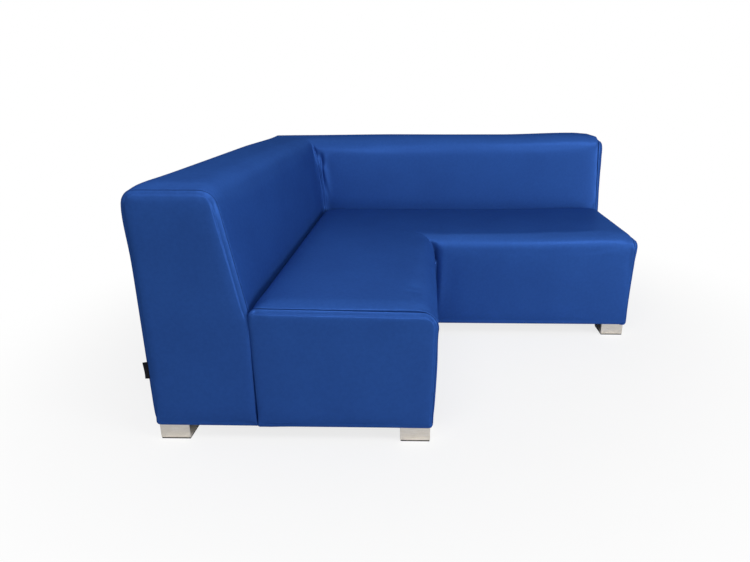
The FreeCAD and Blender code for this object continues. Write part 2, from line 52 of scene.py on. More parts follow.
# Depth runs forward from the rear faces, run along a wing from the outer corner, level up from the floor
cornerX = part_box("back_band_left")[0].x
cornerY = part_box("back_band_right")[1].y
wings = {
    "left": {"length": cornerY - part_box("back_end_panel_left")[0].y},
    "right": {"length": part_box("back_end_panel_right")[1].x - cornerX},
}
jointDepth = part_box("back_band_left")[1].x - cornerX
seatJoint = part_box("seat_end_panel_left")[0].x - cornerX
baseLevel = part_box("seat_band")[0].z
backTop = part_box("back_band_left")[1].z
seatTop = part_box("seat_band")[1].z
jointLevel = 0.405  # where the raked face turns down to the joint


def spot(wing, depth, run, level):
    if wing == "left":
        return np.stack([cornerX + depth, cornerY - run, level], -1)
    return np.stack([cornerX + run, cornerY - depth, level], -1)


def smooth(low, high, values):
    share = np.clip((values - low) / (high - low), 0, 1)
    return share * share * (3 - 2 * share)


def bell(values, centre, width):
    return np.exp(-(((values - centre) / width) ** 2))


# Materials
def newMaterial(name):
    material = bpy.data.materials.new(name)
    material.use_nodes = True
    tree = material.node_tree
    return material, tree, tree.nodes["Principled BSDF"]


def feed(tree, node, inputs):
    # Links what is a socket, and sets what is a plain value
    for key, value in inputs.items():
        if isinstance(value, bpy.types.NodeSocket):
            tree.links.new(value, node.inputs[key])
        else:
            node.inputs[key].default_value = value


def addNode(tree, kind, inputs=None, **settings):
    node = tree.nodes.new(kind)
    for key, value in settings.items():
        setattr(node, key, value)
    feed(tree, node, inputs or {})
    return node


def linear(*shades):
    # From a colour as a screen shows it, 0 to 255, to linear light
    return [((c / 255 + 0.055) / 1.055) ** 2.4 if c > 10 else c / 255 / 12.92 for c in shades] + [1]


def ramp(tree, factor, stops):
    node = addNode(tree, "ShaderNodeValToRGB", {"Fac": factor})
    node.color_ramp.elements[0].position, node.color_ramp.elements[0].color = stops[0]
    node.color_ramp.elements[1].position, node.color_ramp.elements[1].color = stops[-1]
    for position, colour in stops[1:-1]:
        node.color_ramp.elements.new(position).color = colour
    return node.outputs["Color"]


def grey(value):
    return [value, value, value, 1]


def mixColours(tree, factor, first, second, blend="MIX"):
    inputs = {0: factor, 6: first, 7: second}
    return addNode(tree, "ShaderNodeMix", inputs, data_type="RGBA", blend_type=blend).outputs[2]


def objectPoint(tree, scale=(1, 1, 1)):
    place = addNode(tree, "ShaderNodeTexCoord")
    mapping = addNode(tree, "ShaderNodeMapping", {"Vector": place.outputs["Object"], "Scale": scale})
    return mapping.outputs["Vector"]


def noiseOf(tree, point, scale, detail=2.0, roughness=0.5):
    settings = {"Vector": point, "Scale": scale, "Detail": detail, "Roughness": roughness}
    return addNode(tree, "ShaderNodeTexNoise", settings).outputs["Fac"]


def paint(tree, shader, colour, normal, roughness, others=None):
    feed(tree, shader, {"Base Color": colour, "Normal": normal, "Roughness": roughness, **(others or {})})


def bumpOf(tree, height, strength, distance, under=None):
    settings = {"Height": height, "Strength": strength, "Distance": distance}
    if under is not None:
        settings["Normal"] = under
    return addNode(tree, "ShaderNodeBump", settings).outputs["Normal"]


def maths(tree, operation, first, second):
    return addNode(tree, "ShaderNodeMath", {0: first, 1: second}, operation=operation).outputs[0]


vinylLook = {
    "colour": (39, 76, 145),
    "deep": (37, 72, 139),
    # lighter vinyl, partly rubbed wear and partly painted highlight beside the seams and on upward faces
    "wornAndSheen": (42, 83, 157),
    # painted shade, the colour that the seams and creases are darkened towards
    "paintedShade": (12, 26, 62),
    "roughness": (0.34, 0.42),
    "shine": (80, 134, 236),
    "shineShare": 0.09,
    "grain": 620,  # pebbles to the metre
    # Scale, detail and roughness of each noise
    "clouds": (5.5, 4, 0.55),
    "mottle": (90, 3, 0.6),
    # patches in which the wear and the painted highlight show
    "wearAndSheenPatches": (34, 5, 0.7),
    "wrinkles": (240, 4, 0.6),
    "handling": (60, 4, 0.65),
}


def makeVinyl():
    material, tree, shader = newMaterial("blue_vinyl")
    point = objectPoint(tree)
    noises = {
        name: noiseOf(tree, point, *vinylLook[name])
        for name in ("clouds", "mottle", "wearAndSheenPatches", "wrinkles", "handling")
    }
    colours = {name: linear(*vinylLook[name]) for name in ("colour", "deep", "wornAndSheen", "paintedShade", "shine")}
    base = ramp(tree, noises["clouds"], [(0.3, colours["deep"]), (0.62, colours["colour"])])
    speck = ramp(tree, noises["mottle"], [(0.35, grey(0.90)), (0.65, grey(1.0))])
    tinted = mixColours(tree, 1, base, speck, "MULTIPLY")
    # Worn and sheen share: patches of lighter vinyl, partly real wear and partly painted highlight beside the
    # seams, on the tops and on the seat's front-top edge
    wearAndSheen = addNode(tree, "ShaderNodeAttribute", attribute_name="wearAndSheen").outputs["Fac"]
    crease = addNode(tree, "ShaderNodeAttribute", attribute_name="crease").outputs["Fac"]
    patches = ramp(tree, noises["wearAndSheenPatches"], [(0.42, grey(0)), (0.7, grey(1))])
    wornAndSheened = mixColours(tree, maths(tree, "MULTIPLY", wearAndSheen, patches), tinted, colours["wornAndSheen"])
    pebbles = addNode(
        tree, "ShaderNodeTexVoronoi", {"Vector": point, "Scale": vinylLook["grain"], "Randomness": 1.0},
        feature="SMOOTH_F1",
    ).outputs["Distance"]
    normal = bumpOf(tree, noises["wrinkles"], 0.08, 0.0015, bumpOf(tree, pebbles, 0.16, 0.0006))
    low, high = vinylLook["roughness"]
    rough = ramp(tree, noises["handling"], [(0.3, grey(low)), (0.75, grey(high))])
    # Painted shade: the crease share darkens the seams and the seat's inner corner crease
    colour = mixColours(tree, crease, wornAndSheened, colours["paintedShade"])
    paint(tree, shader, colour, normal, rough, {"Specular IOR Level": 0.0})
    # A soft blue shine of its own, as the coating has, without the white glare of a bare surface
    inputs = {"Color": colours["shine"], "Normal": normal, "Roughness": rough}
    shine = addNode(tree, "ShaderNodeBsdfGlossy", inputs)
    inputs = {0: vinylLook["shineShare"], 1: shader.outputs[0], 2: shine.outputs[0]}
    mix = addNode(tree, "ShaderNodeMixShader", inputs)
    tree.links.new(mix.outputs[0], tree.nodes["Material Output"].inputs["Surface"])
    return material


def makeFoam():
    material, tree, shader = newMaterial("seat_foam")
    point = objectPoint(tree)
    stops = [(0.3, linear(226, 210, 164)), (0.7, linear(240, 230, 196))]
    tone = ramp(tree, noiseOf(tree, point, 22, 4), stops)
    cells = addNode(tree, "ShaderNodeTexVoronoi", {"Vector": point, "Scale": 900}).outputs["Distance"]
    paint(tree, shader, tone, bumpOf(tree, cells, 0.6, 0.0008), 0.95)
    return material


def makeWood(name, light, dark, stretch, ringScale):
    material, tree, shader = newMaterial(name)
    point = objectPoint(tree, stretch)
    inputs = {"Vector": point, "Scale": ringScale, "Distortion": 7, "Detail": 4, "Detail Scale": 1.6}
    grain = addNode(tree, "ShaderNodeTexWave", inputs).outputs["Fac"]
    tone = ramp(tree, grain, [(0.15, linear(*dark)), (0.85, linear(*light))])
    flecks = ramp(tree, noiseOf(tree, point, 160, 3), [(0.4, grey(0.86)), (0.62, grey(1))])
    colour = mixColours(tree, 0.8, tone, flecks, "MULTIPLY")
    paint(tree, shader, colour, bumpOf(tree, grain, 0.15, 0.0006), 0.72)
    return material


def makeWeave(name, light, dark, pitch, roughness):
    material, tree, shader = newMaterial(name)
    point = objectPoint(tree)
    inputs = {"Vector": point, "Scale": pitch}
    warp, weft = (
        addNode(tree, "ShaderNodeTexWave", inputs, bands_direction=way).outputs["Fac"] for way in "XY"
    )
    woven = maths(tree, "MULTIPLY", warp, weft)
    fibres = noiseOf(tree, point, 400, 4, 0.7)
    mixed = maths(tree, "ADD", maths(tree, "MULTIPLY", woven, 0.5), maths(tree, "MULTIPLY", fibres, 0.5))
    tone = ramp(tree, mixed, [(0.2, linear(*dark)), (0.75, linear(*light))])
    normal = bumpOf(tree, woven, 0.5, 0.0006, bumpOf(tree, fibres, 0.3, 0.0004))
    paint(tree, shader, tone, normal, roughness, {"Specular IOR Level": 0.15})
    return material


def makeSteel(name, light, dark, stretch, roughness):
    material, tree, shader = newMaterial(name)
    lines = noiseOf(tree, objectPoint(tree, stretch), 1, 5, 0.65)
    tone = ramp(tree, lines, [(0.3, linear(*dark)), (0.7, linear(*light))])
    smudge = ramp(tree, noiseOf(tree, objectPoint(tree), 26, 3), [(0.55, grey(0)), (0.75, grey(0.25))])
    rough = ramp(tree, lines, [(0.3, grey(roughness[1])), (0.7, grey(roughness[0]))])
    normal = bumpOf(tree, lines, 0.25, 0.0002)
    colour = mixColours(tree, smudge, tone, linear(*dark))
    paint(tree, shader, colour, normal, rough, {"Metallic": 1.0})
    return material


def makePlastic():
    material, tree, shader = newMaterial("glide_plastic")
    point = objectPoint(tree)
    tone = ramp(tree, noiseOf(tree, point, 60, 4), [(0.35, linear(20, 20, 22)), (0.7, linear(34, 34, 37))])
    normal = bumpOf(tree, noiseOf(tree, point, 1500, 2), 0.25, 0.0003)
    rough = ramp(tree, noiseOf(tree, point, 45, 3), [(0.3, grey(0.42)), (0.7, grey(0.62))])
    paint(tree, shader, tone, normal, rough)
    return material


looks = {
    "cover": makeVinyl(),
    "foam": makeFoam(),
    "plywood": makeWood("birch_plywood", (214, 182, 134), (186, 146, 98), (1, 1, 9), 5),
    "hardboard": makeWood("brown_hardboard", (132, 94, 62), (104, 72, 46), (2, 2, 2), 60),
    "webbing": makeWeave("elastic_webbing", (62, 62, 66), (30, 30, 33), 260, 0.85),
    "dust_cover": makeWeave("black_felted_sheet", (36, 36, 38), (17, 17, 19), 520, 0.95),
    "label": makeWeave("black_ribbon", (15, 17, 30), (6, 7, 14), 900, 0.6),
    "foot_steel": makeSteel("brushed_steel", (250, 244, 234), (214, 206, 192), (30, 30, 1400), (0.24, 0.40)),
    "glide_plastic": makePlastic(),
    "zinc_steel": makeSteel(
        "zinc_plated_steel", (206, 208, 212), (150, 153, 160), (300, 300, 300), (0.30, 0.48)
    ),
}
for row in frame["record"]["subparts"]:
    meshOf = nodes[row["node"]].data
    meshOf.materials.clear()
    meshOf.materials.append(looks[row["material_slot"]])
print("materials made:", len(looks))


# Outlines of the padded sections: depth, level and radius of each corner, from the rear of the base upwards
backShape = {
    "outline": [
        (0, baseLevel, 0.012),
        (0, backTop, 0.042),
        (0.241, backTop, 0.048),
        (jointDepth, jointLevel, 0.060),
        (jointDepth, baseLevel, 0.006),
    ],
    "splits": (0, 1, 2, 4),  # corners where the rear, top, front and base sides meet
    "roll": {"rear": 0.010, "top": 0.011, "front": 0.011, "joint": 0.0020, "base": 0.010},
    "seam": {"rear": 0.018, "top": 0.0096, "front": 0.0150, "joint": 0.022, "base": 0.034},
}
seatShape = {
    "outline": [
        (seatJoint, baseLevel, 0.006),
        (seatJoint, seatTop, 0.025),
        (0.829, 0.413, 0.050),
        (0.812, baseLevel, 0.012),
    ],
    "splits": (0, 1, 2, 3),
    "roll": {"rear": 0.0020, "top": 0.011, "front": 0.011, "joint": 0.0030, "base": 0.010},
    "seam": {"rear": 0.022, "top": 0.0120, "front": 0.0090, "joint": 0.022, "base": 0.034},
}
bendSteps = 24
bendCost = 0.045  # how much closer together points lie on a bend


def traceOutline(shape):
    # Dense closed line with its outward normals, and where each corner's middle lies along it
    corners = shape["outline"]
    points, normals, middles = [], [], []
    for index, (depth, level, radius) in enumerate(corners):
        here = np.array((depth, level))
        before = np.array(corners[index - 1][:2]) - here
        after = np.array(corners[(index + 1) % len(corners)][:2]) - here
        before /= np.linalg.norm(before)
        after /= np.linalg.norm(after)
        half = math.acos(before @ after) / 2
        centre = here + (before + after) / np.linalg.norm(before + after) * radius / math.sin(half)
        first = here + before * radius / math.tan(half) - centre
        last = here + after * radius / math.tan(half) - centre
        start = math.atan2(first[1], first[0])
        turn = (math.atan2(last[1], last[0]) - start + math.pi) % (2 * math.pi) - math.pi
        for step in range(bendSteps + 1):
            angle = start + turn * step / bendSteps
            normals.append((math.cos(angle), math.sin(angle)))
            points.append(centre + radius * np.array(normals[-1]))
        middles.append(len(points) - 1 - bendSteps // 2)
    points.append(points[0])
    normals.append(normals[0])
    points, normals = np.array(points), np.array(normals)
    steps = np.linalg.norm(np.diff(points, axis=0), axis=1)
    bends = np.arccos(np.clip((normals[1:] * normals[:-1]).sum(1), -1, 1))
    trace = {
        "points": points,
        "normals": normals,
        "lengths": np.concatenate([[0], np.cumsum(steps)]),
        "costs": np.concatenate([[0], np.cumsum(steps + bendCost * bends)]),
    }
    trace["middles"] = [trace["costs"][index] for index in middles]
    return trace


def readTrace(trace, costs):
    whole = trace["costs"][-1]
    costs = np.mod(costs, whole)
    points = np.stack([np.interp(costs, trace["costs"], trace["points"][:, axis]) for axis in (0, 1)], -1)
    normals = np.stack([np.interp(costs, trace["costs"], trace["normals"][:, axis]) for axis in (0, 1)], -1)
    normals /= np.linalg.norm(normals, axis=1)[:, None]
    return points, normals, np.interp(costs, trace["costs"], trace["lengths"])


def costAt(trace, depth, level):
    # Where a point of the outline lies along the trace
    gaps = np.linalg.norm(trace["points"][:-1] - (depth, level), axis=1)
    best, bestGap = 0, 9
    for index in range(len(gaps)):
        start, stop = trace["points"][index], trace["points"][index + 1]
        step = stop - start
        share = np.clip(((depth, level) - start) @ step / max(step @ step, 1e-12), 0, 1)
        gap = np.linalg.norm(start + share * step - (depth, level))
        if gap < bestGap:
            best, bestGap = np.interp(share, (0, 1), trace["costs"][index:index + 2]), gap
    return best


def byRegion(shape, name, points, normals):
    # A value that changes smoothly from side to side of a section
    across, up = normals[:, 0], normals[:, 1]
    below = 1 - smooth(jointLevel - 0.035, jointLevel + 0.012, points[:, 1])
    if shape is seatShape:
        below = np.zeros(len(points))
    forward = np.maximum(across, 0) ** 2
    shares = {
        "rear": np.maximum(-across, 0) ** 2,
        "top": np.maximum(up, 0) ** 2,
        "front": forward * (1 - below),
        "joint": forward * below,
        "base": np.maximum(-up, 0) ** 2,
    }
    return sum(shape[name][side] * share for side, share in shares.items())


def overEdge(shape, wing, points, normals, reach):
    # Position at a distance from the end face's flat, measured outwards over its rolled edge
    radius = byRegion(shape, "roll", points, normals)
    length = wings[wing]["length"]
    quarter = radius * math.pi / 2
    angle = np.clip((quarter - reach) / radius, 0, math.pi / 2)
    inset = radius * (1 - np.cos(angle))
    place = points - normals * inset[:, None]
    run = length - radius + radius * np.sin(angle) - np.maximum(reach - quarter, 0)
    return place[:, 0], run, place[:, 1]


# Building meshes
def meshFrom(name, corners, faces, values=None, edges=()):
    data = bpy.data.meshes.new(name)
    data.from_pydata(corners.tolist(), edges, faces)
    for key, numbers in (values or {}).items():
        layer = data.attributes.new(key, "FLOAT", "POINT")
        layer.data.foreach_set("value", np.asarray(numbers, np.float32).ravel())
    data.update()
    piece = bpy.data.objects.new(name, data)
    bpy.context.scene.collection.objects.link(piece)
    return piece


def gridFaces(rows, columns, offset=0, flip=False):
    faces = []
    for row in range(rows - 1):
        for column in range(columns - 1):
            start = offset + row * columns + column
            face = (start, start + 1, start + columns + 1, start + columns)
            faces.append(face[::-1] if flip else face)
    return faces


def readPoints(data):
    flat = np.empty(len(data.vertices) * 3)
    data.vertices.foreach_get("co", flat)
    return flat.reshape(-1, 3)


def readNormals(data):
    flat = np.empty(len(data.vertices) * 3, np.float32)
    data.vertex_normals.foreach_get("vector", flat)
    return flat.reshape(-1, 3).astype(float)


def writePoints(data, points):
    data.vertices.foreach_set("co", points.ravel())
    data.update()


def readValues(data, key):
    flat = np.empty(len(data.vertices), np.float32)
    data.attributes[key].data.foreach_get("value", flat)
    return flat.astype(float)


def bake(piece):
    # Replace a piece's mesh with what its modifiers make of it
    graph = bpy.context.evaluated_depsgraph_get()
    made = bpy.data.meshes.new_from_object(piece.evaluated_get(graph), depsgraph=graph)
    old = piece.data
    piece.modifiers.clear()
    piece.data = made
    made.name = piece.name
    bpy.data.meshes.remove(old)


def subdivide(piece, levels=1):
    modifier = piece.modifiers.new("finer", "SUBSURF")
    modifier.levels = levels
    modifier.render_levels = levels
    modifier.boundary_smooth = "PRESERVE_CORNERS"
    bake(piece)


clothRun = {
    "frames": 18,
    "cap": 0.0042,
    "pinWidth": 0.004,
    "settings": {
        "quality": 5,
        "mass": 0.25,
        "air_damping": 4,
        "tension_stiffness": 35,
        "compression_stiffness": 35,
        "shear_stiffness": 12,
        "bending_stiffness": 3,
        "vertex_group_mass": "pins",
        "use_pressure": True,
        "use_pressure_volume": True,
        "target_volume": 0,
        "uniform_pressure_force": 2.5,
    },
}


def inflate(piece, cap=None):
    # Let the sheet swell against its pinned edges, and keep only a little of that movement
    data = piece.data
    rest = readPoints(data)
    pins = piece.vertex_groups.new(name="pins")
    held = 1 - smooth(0.0, clothRun["pinWidth"], readValues(data, "edge"))
    for index in np.nonzero(held > 0.01)[0]:
        pins.add([int(index)], float(held[index]), "REPLACE")
    cloth = piece.modifiers.new("cloth", "CLOTH")
    for key, value in clothRun["settings"].items():
        setattr(cloth.settings, key, value)
    cloth.settings.effector_weights.gravity = 0
    cloth.collision_settings.use_collision = False
    cloth.point_cache.frame_start = 1
    cloth.point_cache.frame_end = clothRun["frames"]
    for number in range(1, clothRun["frames"] + 1):
        bpy.context.scene.frame_set(number)
    graph = bpy.context.evaluated_depsgraph_get()
    moved = readPoints(piece.evaluated_get(graph).data) - rest
    bpy.context.scene.frame_set(1)
    piece.modifiers.clear()
    piece.vertex_groups.clear()
    size = np.linalg.norm(moved, axis=1)
    limit = cap or clothRun["cap"]
    kept = limit * np.tanh(size / limit)
    writePoints(data, rest + moved * (kept / np.maximum(size, 1e-9))[:, None])
    print(f"  {piece.name} swelled {size.max() * 1000:.1f} mm, kept as {kept.max() * 1000:.1f} mm")


def thicken(piece, thickness):
    modifier = piece.modifiers.new("thickness", "SOLIDIFY")
    modifier.thickness = thickness
    modifier.offset = -1
    modifier.use_even_offset = False
    bake(piece)


def swell(piece, cap=None):
    # The cover's first faces, and the points and normals of its finer mesh
    inflate(piece, cap)
    faces = [list(face.vertices) for face in piece.data.polygons]
    subdivide(piece)
    return faces, readPoints(piece.data), readNormals(piece.data)


def areaOf(piece):
    return sum(face.area for face in piece.data.polygons)


def padUnder(cover, faces, name, kept, depths, *replaced):
    # A foam pad that follows the underside of a cover, as deep at each point as depths says.
    # A subdivided mesh keeps its first points in their order, so that the coarse faces still fit it
    count = len(kept)
    points = readPoints(cover.data)[:count] - readNormals(cover.data)[:count] * (coverThickness + padGap)
    order = np.cumsum(kept) - 1
    covered = [[int(order[index]) for index in face] for face in faces if kept[face].all()]
    pad = meshFrom(name, points[kept], covered)
    group = pad.vertex_groups.new(name="depth")
    deepest = float(depths[kept].max())
    for index, depth in enumerate(depths[kept]):
        group.add([index], float(depth) / deepest, "REPLACE")
    modifier = pad.modifiers.new("depth", "SOLIDIFY")
    modifier.thickness = deepest
    modifier.offset = -1
    modifier.vertex_group = "depth"
    bake(pad)
    pad.vertex_groups.clear()
    finishSoft(pad, "foam", *replaced)
    return pad.name


def declareCut(piece, flat, cut, *under):
    print(f"  {piece.name} cut {flat[0]:.3f} x {flat[1]:.3f} m, {cut:.3f} square metres")


def finishSoft(piece, slotName, *replaced):
    piece.data.materials.clear()
    piece.data.materials.append(looks[slotName])
    piece.data.shade_smooth()
    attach(piece, "root")
    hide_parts(*replaced)


# Cover bands: a grid from the mitre to the end seam, as fine near both as their folds need
bandRows = {
    "seam": (0, 0.0008, 0.0018, 0.0032, 0.0052, 0.008, 0.012, 0.018, 0.027, 0.040),
    "mitre": (0.062, 0.050, 0.040, 0.031, 0.0235, 0.017, 0.0115, 0.007, 0.0038, 0.0016, 0),
    "spacing": 0.019,
    "outlineSpacing": 0.0165,
    "tuckLevel": 0.300,  # where a band stops down the joint face
    "turnUnder": 0.016,
}
coverThickness = 0.0012
padGap = 0.0012  # between a cover and the pad under it
baseSag = 0.0078  # how far the covers hang under the base's edges

# How far the stuffing lifts the covers off their cut shape, away from the seams
fullness = {
    "top": {"left": 0.0092, "right": 0.0068},
    "rightEnd": 0.0080,  # more at the right end of the right back's top
    "topRamp": {"left": 0.045, "right": 0.010},
    "rear": {"left": 0.0085, "right": 0.0080},
    "rearHigh": {"left": 0.0058, "right": 0.0060},
    "endShare": {"left": 0.8, "right": 1.0},
    "endRamp": {"left": 0.070, "right": 0.030},
    "end": 0.0085,
    "endHigh": 0.0045,
    "seatEnd": 0.0060,
    "seatEndHigh": 0.0058,  # more along the top of a seat's end
    "seatTop": 0.0085,
    "seatRightEnd": 0.0060,
    "frontTuck": 0.0045,
}


def rise(width, gap):
    # Quick beside a seam and slower further in, as stuffing fills a cover
    share = np.clip(gap / width, 0, 1)
    return share * (2 - share)


def backFullness(wing, gap, mitre, level, across, up):
    lifted = fullness["top"][wing] * smooth(0.03, 0.60, mitre)
    if wing == "right":
        lifted += fullness["rightEnd"] * (1 - smooth(0.10, 0.45, gap))
    lifted = lifted * np.maximum(up, 0) ** 1.5 * (0.8 + 0.2 * smooth(0.02, 0.09, gap))
    rear = fullness["rear"][wing] + fullness["rearHigh"][wing] * bell(level, 0.67, 0.08)
    rear = rear * np.maximum(-across, 0) ** 2.2 * smooth(0.0, 0.20, mitre) * smooth(0.0, 0.013, gap)
    return lifted * smooth(0.0, fullness["topRamp"][wing], gap) + rear


def endFullness(name, wing, gap, depth, level):
    share, width = fullness["endShare"][wing], fullness["endRamp"][wing]
    # Back and seat press on each other below, so that their panels stay level at the joint
    gap = gap + width * bell(depth, jointDepth, 0.05) * (1 - smooth(0.34, 0.40, level))
    if name == "seat":
        high = fullness["seatEndHigh"] * bell(level, 0.400, 0.035)
        low = fullness["seatEnd"] * (0.6 + 0.4 * smooth(0.15, 0.36, level))
        return share * (low + high) * rise(width, gap)
    high = fullness["endHigh"] * smooth(0.50, 0.70, level)
    return share * (fullness["end"] * smooth(0.10, 0.45, level) + high) * rise(width, gap)


def seatFullness(gap, level, across, up):
    lifted = fullness["seatTop"] * np.maximum(up, 0) ** 1.5 * rise(0.055, gap)
    tucked = np.maximum(across, 0) * smooth(0.20, 0.36, level) * (1 - smooth(0.08, 0.40, gap))
    return lifted - fullness["frontTuck"] * tucked * smooth(0.0, 0.02, gap)


def cornerShift(shape, wing, points, normals):
    # Radius of the rounding in plan where the wings meet, along the outline
    across, up = normals[:, 0], normals[:, 1]
    level = points[:, 1]
    if shape is backShape:
        rear = 0.006 * np.maximum(-across, 0) ** 2
        width = 0.030 + 0.040 * smooth(0.40, 0.52, level)
        bridge = smooth(0.36, 0.42, level) * width * (1 - smooth(0.60, 0.745, level))
        return rear + bridge * np.maximum(across, 0)
    return np.maximum(0.085 - 0.9 * np.maximum(points[:, 0] - seatJoint, 0), 0)


def bandSheet(shape, wing, costs, trace, gap):
    points, normals, lengths = readTrace(trace, costs)
    seam = byRegion(shape, "seam", points, normals)
    radius = byRegion(shape, "roll", points, normals)
    start = points[:, 0] + gap
    if shape is backShape and wing == "right":
        start = start + 0.8 * cornerBow(points[:, 1]) * np.maximum(normals[:, 0], 0)
    whole = wings[wing]["length"] - radius - start + radius * math.pi / 2 - seam
    seamRows = np.array(bandRows["seam"])
    mitreRows = np.array(bandRows["mitre"])
    count = int((whole.max() - seamRows[-1] - mitreRows[0]) / bandRows["spacing"])
    shares = np.linspace(0, 1, count + 1)[1:-1]
    middle = seamRows[-1] + (whole[:, None] - mitreRows[0] - seamRows[-1]) * shares
    away = np.concatenate([np.tile(seamRows, (len(points), 1)), middle, whole[:, None] - mitreRows], 1)
    depth, run, level = np.empty_like(away), np.empty_like(away), np.empty_like(away)
    for column in range(away.shape[1]):
        depth[:, column], run[:, column], level[:, column] = overEdge(
            shape, wing, points, normals, seam + away[:, column]
        )
    rounding = cornerShift(shape, wing, points, normals)[:, None]
    fromMitre = whole[:, None] - away
    inside = fromMitre < rounding
    angle = math.pi / 4 * (1 - fromMitre / np.maximum(rounding, 1e-9))
    depth = np.where(inside, depth + rounding * (1 - np.cos(angle)), depth)
    run = np.where(inside, start[:, None] + rounding * (1 - np.sin(angle)), run)
    values = {"seamGap": away, "mitreGap": fromMitre}
    traced = zip(("along", "depthAt", "levelAt", "acrossAt", "upAt"), (lengths, *points.T, *normals.T))
    for key, numbers in traced:
        values[key] = np.tile(numbers[:, None], (1, away.shape[1]))
    return spot(wing, depth, run, level), values


def bandCosts(shape, trace):
    corners = shape["outline"]
    spacing = bandRows["outlineSpacing"]
    whole = trace["costs"][-1]
    if shape is backShape:
        first = costAt(trace, corners[0][2] + bandRows["turnUnder"], baseLevel) - whole
        last = costAt(trace, jointDepth, bandRows["tuckLevel"])
    else:
        first = costAt(trace, seatJoint, bandRows["tuckLevel"])
        last = costAt(trace, corners[3][0] - corners[3][2] - bandRows["turnUnder"], baseLevel)
    return np.linspace(first, last, int((last - first) / spacing) + 1)


# Small relief of the covers, along their outward normals, and the shade painted into their seams
relief = {
    "groove": 0.0022,
    "grooveWidth": 0.0011,
    "lip": 0.0004,
    "lipAt": 0.0042,
    "lipWidth": 0.0030,
    "pucker": 0.00035,
    "puckerReach": 0.009,
    "shade": 0.92,
    "shadeWidth": 0.0014,
    "jointRecess": 0.0022,  # the joint faces lie back, so that a deep crease opens above the seat
}


def ripple(along, seed):
    # Uneven puckers of a sewn edge, from sines of unlike lengths
    waves = ((0.0083, 1.0), (0.0131, 0.8), (0.0217, 0.9), (0.0523, 0.7))
    total = 0
    for index, (step, size) in enumerate(waves):
        total = total + size * np.sin(2 * math.pi * along / step + seed * (2.1 + index))
    return total / 2.4


def seamRelief(gap, along, seed):
    dip = -relief["groove"] * np.exp(-((gap / relief["grooveWidth"]) ** 1.6))
    lip = relief["lip"] * bell(gap, relief["lipAt"], relief["lipWidth"])
    puckers = relief["pucker"] * ripple(along, seed) * np.exp(-gap / relief["puckerReach"])
    return dip + lip + puckers * smooth(0.0006, 0.003, gap)


def creaseShade(gap):
    return relief["shade"] * np.exp(-((gap / relief["shadeWidth"]) ** 2))


def closeCover(piece, replaced, crease, wearAndSheen, flat, cut, *pads):
    # Only the painted crease shade and the worn and sheen shares (rubbed wear with painted highlight) stay on
    # the mesh
    data = piece.data
    for name in [layer.name for layer in data.attributes if layer.data_type == "FLOAT"]:
        data.attributes.remove(data.attributes[name])
    for name, numbers in (("crease", crease), ("wearAndSheen", wearAndSheen)):
        layer = data.attributes.new(name, "FLOAT", "POINT")
        layer.data.foreach_set("value", np.asarray(numbers, np.float32))
    thicken(piece, coverThickness)
    finishSoft(piece, "cover", replaced)
    declareCut(piece, flat, cut, *pads)
    return piece


def cutSize(grid):
    # Width across and length along a band before it is sewn, from its rows of points
    across = np.linalg.norm(np.diff(grid[:, grid.shape[1] // 2], axis=0), axis=1).sum()
    along = np.linalg.norm(np.diff(grid, axis=1), axis=2).sum(1).max()
    return float(across), float(along)


seamPaths = []
tracedBack = traceOutline(backShape)
tracedSeat = traceOutline(seatShape)


def offBase(points):
    # The flap turned under the base stays where it is pinned
    return smooth(baseLevel + 0.001, baseLevel + 0.014, points[..., 2])


def endGaps(rows):
    # How far each row of a band is from the band's two free ends
    return np.minimum(np.arange(rows)[:, None], np.arange(rows)[::-1][:, None]) * 0.01


def makeBackBand(wing, seed):
    costs = bandCosts(backShape, tracedBack)
    corners, values = bandSheet(backShape, wing, costs, tracedBack, -0.0006)
    rows, columns = corners.shape[:2]
    free = np.minimum(np.minimum(values["seamGap"], values["mitreGap"]), endGaps(rows))
    values["edge"] = free * offBase(corners)
    piece = meshFrom(
        f"back_cover_{wing}", corners.reshape(-1, 3), gridFaces(rows, columns, flip=wing == "left"), values
    )
    cut, flat = areaOf(piece), cutSize(corners)
    faces, points, outward = swell(piece)
    data = piece.data
    push, gap, mitre, up = backRelief(data, wing, seed)
    writePoints(data, points + outward * push[:, None])
    rear, upright = values["acrossAt"].ravel() < -0.9, values["upAt"].ravel()
    near = values["mitreGap"].ravel()
    inner = (values["seamGap"].ravel() > 0.010) & (near > 0.060)
    thin = np.full(len(rear), 0.0035)
    rearPad = padUnder(piece, faces, f"back_rear_pad_{wing}", rear & inner, thin, f"back_rear_foam_{wing}")
    thick = (0.025 + 0.018 * (1 - np.maximum(upright, 0))) * (0.12 + 0.88 * smooth(0.02, 0.09, near))
    raised = ~rear & inner & (upright > -0.5)
    pad = padUnder(piece, faces, f"back_pad_{wing}", raised, thick, f"back_foam_{wing}")
    # Lighter just beside the seam as a painted highlight, and on the tops, partly wear and partly painted
    # highlight
    wearAndSheen = 0.55 * bell(gap, 0.005, 0.004) + 0.25 * np.maximum(up, 0) ** 2
    return closeCover(piece, f"back_band_{wing}", creaseShade(gap), wearAndSheen, flat, cut, rearPad, pad)


# Where the two backs meet: depths and heights of what shows there. Of a pair, the second is added higher up
cornerFold = {
    "levels": (0.44, 0.485, 0.565, 0.62, 0.67, 0.71),
    "reach": (0.009, 0.010, 0.013, 0.019, 0.035, 0.046),  # of the fold from the mitre, at those levels
    "bow": 0.0030,
    "welt": 0.0026,
    "unevenness": 0.0003,
    "dip": {"left": 0.0030, "right": 0.0036},
    "fold": (0.0022, 0.0034),
    "swell": (0.0012, 0.0013),
    "faceRecess": 0.0035,
}


def cornerBow(level):
    # How far the left back pushes over the right one where they meet
    return cornerFold["bow"] * bell(level, 0.610, 0.06)


